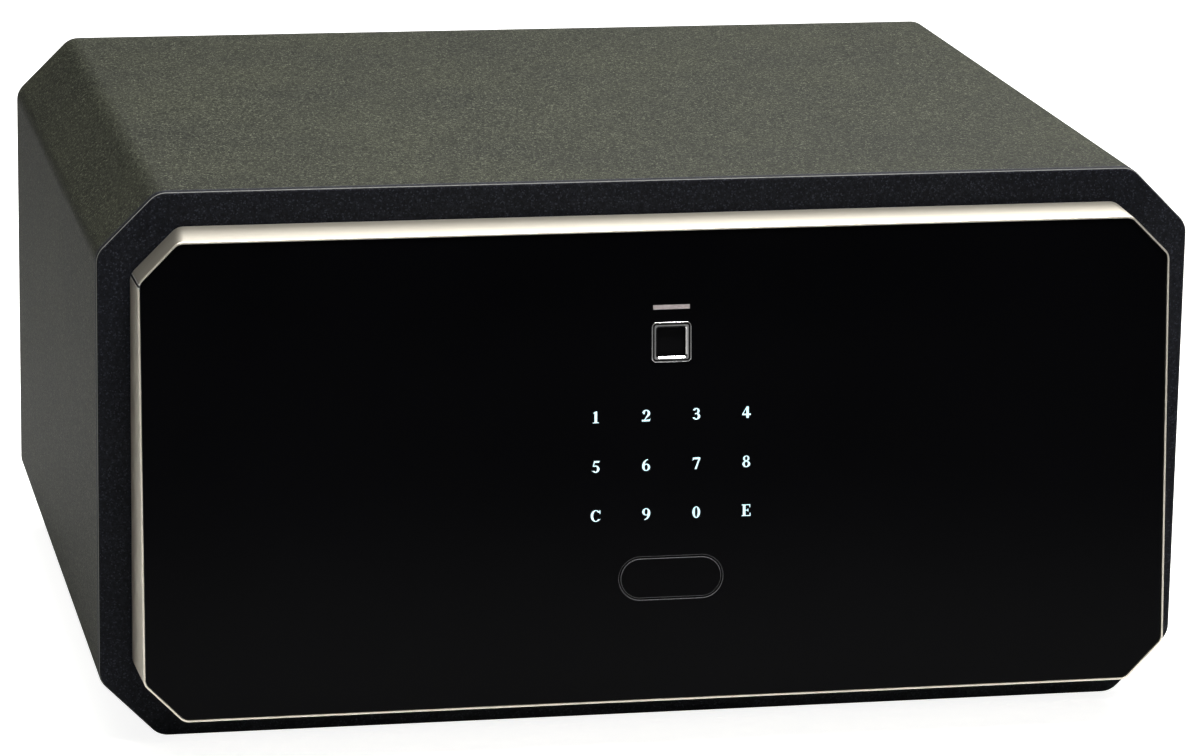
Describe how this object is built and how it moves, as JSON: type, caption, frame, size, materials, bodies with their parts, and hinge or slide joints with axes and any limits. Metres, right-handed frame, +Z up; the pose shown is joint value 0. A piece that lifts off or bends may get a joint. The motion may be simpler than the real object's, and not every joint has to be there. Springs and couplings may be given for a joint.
{
  "type": "compact gun safe",
  "caption": "Compact eight-sided steel gun safe with an inclined black glass door, touch keypad, fingerprint reader, live bolts and a hidden side hinge.",
  "frame": {"origin": "centre of the bounding box at floor level, under the feet", "axes": "+Z up; the door faces -Y; +X to the right seen from the front"},
  "size_m": [0.34, 0.2877, 0.1725],
  "materials": {
    "powder_coat": "fine textured powder coat, near black with an olive cast",
    "trim_metal": "champagne anodised, satin",
    "black_glass": "back-painted black glass, polished",
    "chrome": "polished",
    "status_metal": "satin, warm grey",
    "sensor_black": "satin black sensor window",
    "legend_light": "lit, pale cyan",
    "black_plastic": "fine moulded texture",
    "circuit_green": "solder-mask green",
    "component_black": "moulded component bodies",
    "zinc_steel": "zinc plated",
    "bolt_steel": "turned and polished",
    "screw_black": "black oxide",
    "lock_brass": "brushed",
    "rubber": "matt",
    "foam": "charcoal open-cell foam with felt face",
    "felt": "charcoal needle felt",
    "lamp_lens": "milky diffuser",
    "cell_sleeve": "printed sleeve, plain",
    "gear_plastic": "natural acetal"
  },
  "bodies": {
    "safe_body": {"outer_shell": "powder_coat", "front_ring": "powder_coat", "back_plate": "powder_coat", "rubber_feet": "rubber", "floor_liner": "foam", "right_liner": "felt", "left_liner": "felt", "ceiling_liner": "felt", "rear_liner": "felt", "interior_light": "lamp_lens", "bolt_keeper": "zinc_steel", "hinge_brackets": "zinc_steel", "hinge_pins": "bolt_steel", "bracket_screws": "screw_black"},
    "door": {"hinge_arms": "zinc_steel", "arm_screws": "screw_black", "door_plate": "powder_coat", "trim_frame": "trim_metal", "glass_panel": "black_glass", "panel_carrier": "black_plastic", "indicator_bar": "status_metal", "fingerprint_bezel": "chrome", "fingerprint_pad": "sensor_black", "fingerprint_module": "circuit_green", "keypad_board": "circuit_green", "keypad_legends": "legend_light", "key_well": "black_plastic", "power_port": "zinc_steel", "lock_cylinder": "lock_brass", "bolt_guides": "zinc_steel", "gear_motor": "zinc_steel", "motor_bracket": "zinc_steel", "inner_cover": "black_plastic", "cover_screws": "screw_black", "battery_box": "black_plastic", "batteries": "cell_sleeve", "battery_contacts": "zinc_steel", "control_board": "circuit_green", "board_parts": "component_black"},
    "bolt_work": {"bolt_carriage": "zinc_steel", "locking_bolts": "bolt_steel"},
    "pinion": {"motor_pinion": "gear_plastic"},
    "key_lock": {"key_plug": "lock_brass", "key_sector": "zinc_steel"},
    "key_cap": {"key_cover": "black_glass"},
    "battery_hatch": {"battery_cover": "black_plastic"},
    "reset_key": {"reset_button": "black_plastic"}
  },
  "joints": [
    {"name": "door_hinge", "type": "hinge", "parent": "safe_body", "child": "door", "pos_m": [-0.1635, -0.104, 0.0875], "axis": [0, 0, -1], "range_deg": [0, 95]},
    {"name": "bolt_slide", "type": "slide", "parent": "door", "child": "bolt_work", "axis": [1, 0, 0], "range_m": [0, 0.012]},
    {"name": "pinion_turn", "type": "hinge", "parent": "door", "child": "pinion", "pos_m": [0.084, -0.0979, 0.088], "axis": [0, 0, 1], "range_deg": [0, 115]},
    {"name": "key_turn", "type": "hinge", "parent": "door", "child": "key_lock", "pos_m": [-0.006, -0.116, 0.0536], "axis": [0, 1, 0], "range_deg": [0, 90.5]},
    {"name": "key_cap_slide", "type": "slide", "parent": "door", "child": "key_cap", "axis": [0, -0.9965, 0.083], "range_m": [0, 0.015]},
    {"name": "battery_hatch_slide", "type": "slide", "parent": "door", "child": "battery_hatch", "axis": [0, 1, 0], "range_m": [0, 0.012]},
    {"name": "reset_press", "type": "slide", "parent": "door", "child": "reset_key", "axis": [0, -1, 0], "range_m": [0, 0.0015], "stiffness_N_per_m": 400, "springref_m": -0.0008}
  ],
  "couplings": [
    {"joint": "pinion_turn", "follows": "bolt_slide", "rad_per_m": 166.67},
    {"joint": "key_turn", "follows": "bolt_slide", "rad_per_m": 130.9}
  ]
}
